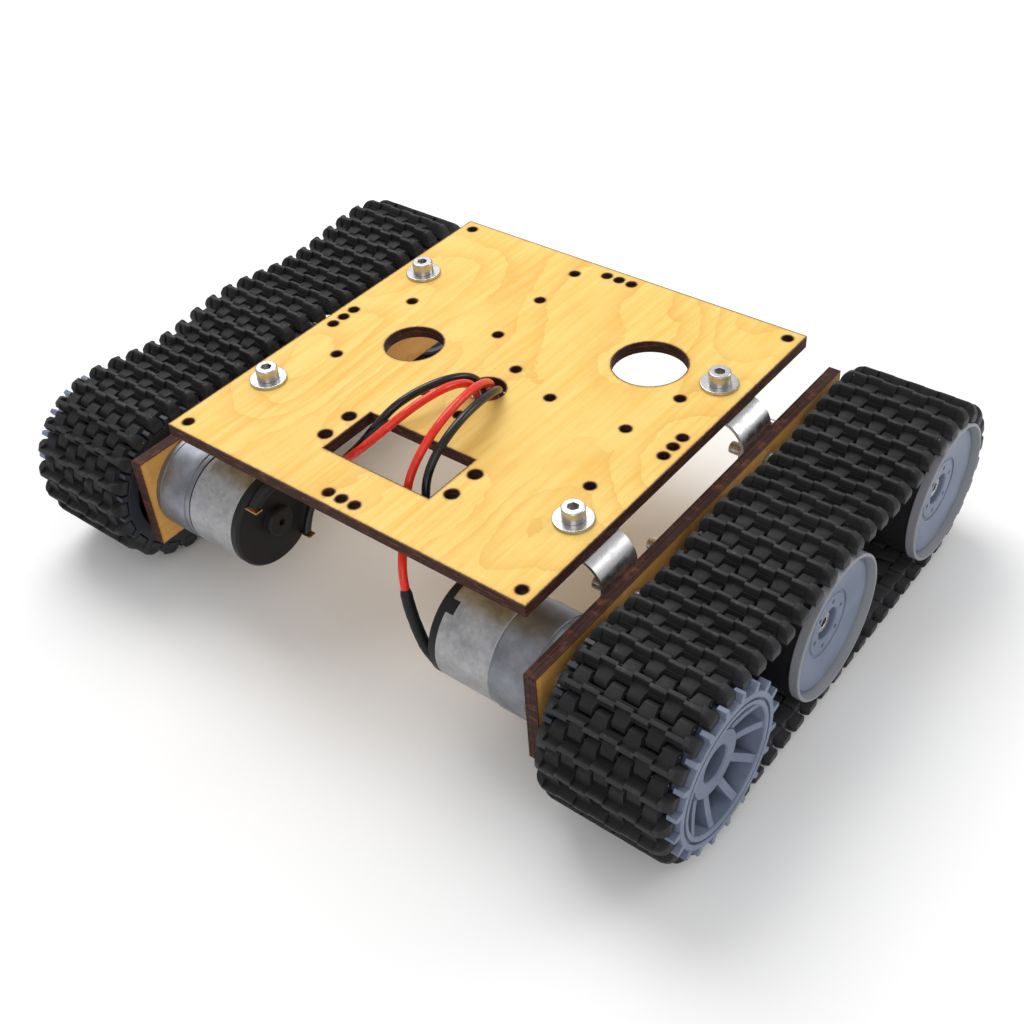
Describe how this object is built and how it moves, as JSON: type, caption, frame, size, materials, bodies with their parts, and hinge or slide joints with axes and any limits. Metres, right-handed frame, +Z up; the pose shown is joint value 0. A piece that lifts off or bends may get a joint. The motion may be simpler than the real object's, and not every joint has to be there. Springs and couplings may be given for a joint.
{
  "type": "tracked chassis",
  "caption": "Tracked robot chassis: plywood deck on two side plates, gear motors driving toothed sprockets, road wheels and linked plastic tracks.",
  "frame": {"origin": "on the ground, midway between the tracks and at the middle of their length", "axes": "+X to the chassis's right seen from behind the motors, across the tracks; +Y along the tracks, away from the motors; +Z up"},
  "size_m": [0.2504, 0.188, 0.0758],
  "materials": {
    "plywood": "laser-cut birch plywood, lightly oiled, dark burnt edges",
    "zinc": "bright zinc-plated steel fasteners",
    "bracket_steel": "zinc-plated pressed steel sheet",
    "gearbox_metal": "blue-grey passivated sintered steel case",
    "can_steel": "mottled zinc-plated drawn steel",
    "black_plastic": "black moulded nylon",
    "brass": "machined brass",
    "shaft_steel": "ground steel",
    "wheel_plastic": "blue-grey moulded plastic with a satin face",
    "bearing_steel": "polished bearing steel",
    "track_plastic": "near-black moulded plastic",
    "red_silicone": "glossy red silicone wire insulation",
    "black_silicone": "glossy black silicone wire insulation",
    "tinned_copper": "tinned copper strands"
  },
  "bodies": {
    "root": {"bearing_inner_races": "bearing_steel", "bracket_front_left": "bracket_steel", "bracket_front_right": "bracket_steel", "bracket_nuts": "zinc", "bracket_rear_left": "bracket_steel", "bracket_rear_right": "bracket_steel", "bracket_screws": "zinc", "deck_nuts": "zinc", "deck_plate": "plywood", "deck_screws": "zinc", "deck_washers": "zinc", "gearbox_left": "gearbox_metal", "gearbox_right": "gearbox_metal", "gearbox_screws": "zinc", "motor_can_left": "can_steel", "motor_can_right": "can_steel", "motor_end_cap_left": "black_plastic", "motor_end_cap_right": "black_plastic", "motor_terminals_left": "brass", "motor_terminals_right": "brass", "motor_wire_black_left": "black_silicone", "motor_wire_black_right": "black_silicone", "motor_wire_red_left": "red_silicone", "motor_wire_red_right": "red_silicone", "side_plate_left": "plywood", "side_plate_right": "plywood", "track_links_left": "track_plastic", "track_links_right": "track_plastic", "track_pins_left": "shaft_steel", "track_pins_right": "shaft_steel", "wheel_axle_bolts": "zinc", "wheel_axle_nuts": "zinc", "wheel_spacers": "zinc", "wire_bare_ends": "tinned_copper", "wire_sleeves": "black_plastic"},
    "drive_left": {"output_shaft_left": "shaft_steel", "hub_coupler_left": "brass", "coupler_grub_screw_left": "zinc", "sprocket_left": "wheel_plastic", "sprocket_screw_left": "zinc"},
    "wheel_mid_left": {"road_wheel_mid_left": "wheel_plastic", "bearing_outer_races_mid_left": "bearing_steel", "bearing_balls_mid_left": "bearing_steel"},
    "wheel_rear_left": {"road_wheel_rear_left": "wheel_plastic", "bearing_outer_races_rear_left": "bearing_steel", "bearing_balls_rear_left": "bearing_steel"},
    "drive_right": {"output_shaft_right": "shaft_steel", "hub_coupler_right": "brass", "coupler_grub_screw_right": "zinc", "sprocket_right": "wheel_plastic", "sprocket_screw_right": "zinc"},
    "wheel_mid_right": {"road_wheel_mid_right": "wheel_plastic", "bearing_outer_races_mid_right": "bearing_steel", "bearing_balls_mid_right": "bearing_steel"},
    "wheel_rear_right": {"road_wheel_rear_right": "wheel_plastic", "bearing_outer_races_rear_right": "bearing_steel", "bearing_balls_rear_right": "bearing_steel"}
  },
  "joints": [
    {"name": "drive_left", "type": "hinge", "parent": "root", "child": "drive_left", "pos_m": [-0.1033, -0.0655, 0.02881], "axis": [1, 0, 0], "continuous": true, "deforming": ["track_links_left", "track_pins_left"]},
    {"name": "wheel_mid_left", "type": "hinge", "parent": "root", "child": "wheel_mid_left", "pos_m": [-0.1033, -0.0052, 0.02881], "axis": [1, 0, 0], "continuous": true, "deforming": ["track_links_left", "track_pins_left"]},
    {"name": "wheel_rear_left", "type": "hinge", "parent": "root", "child": "wheel_rear_left", "pos_m": [-0.1033, 0.0655, 0.02881], "axis": [1, 0, 0], "continuous": true, "deforming": ["track_links_left", "track_pins_left"]},
    {"name": "drive_right", "type": "hinge", "parent": "root", "child": "drive_right", "pos_m": [0.1033, -0.0655, 0.02881], "axis": [1, 0, 0], "continuous": true, "deforming": ["track_links_right", "track_pins_right"]},
    {"name": "wheel_mid_right", "type": "hinge", "parent": "root", "child": "wheel_mid_right", "pos_m": [0.1033, -0.0052, 0.02881], "axis": [1, 0, 0], "continuous": true, "deforming": ["track_links_right", "track_pins_right"]},
    {"name": "wheel_rear_right", "type": "hinge", "parent": "root", "child": "wheel_rear_right", "pos_m": [0.1033, 0.0655, 0.02881], "axis": [1, 0, 0], "continuous": true, "deforming": ["track_links_right", "track_pins_right"]}
  ],
  "couplings": [
    {"joint": "wheel_mid_left", "follows": "drive_left", "ratio": 1.0743},
    {"joint": "wheel_rear_left", "follows": "drive_left", "ratio": 1.0743},
    {"joint": "wheel_mid_right", "follows": "drive_right", "ratio": 1.0743},
    {"joint": "wheel_rear_right", "follows": "drive_right", "ratio": 1.0743}
  ]
}
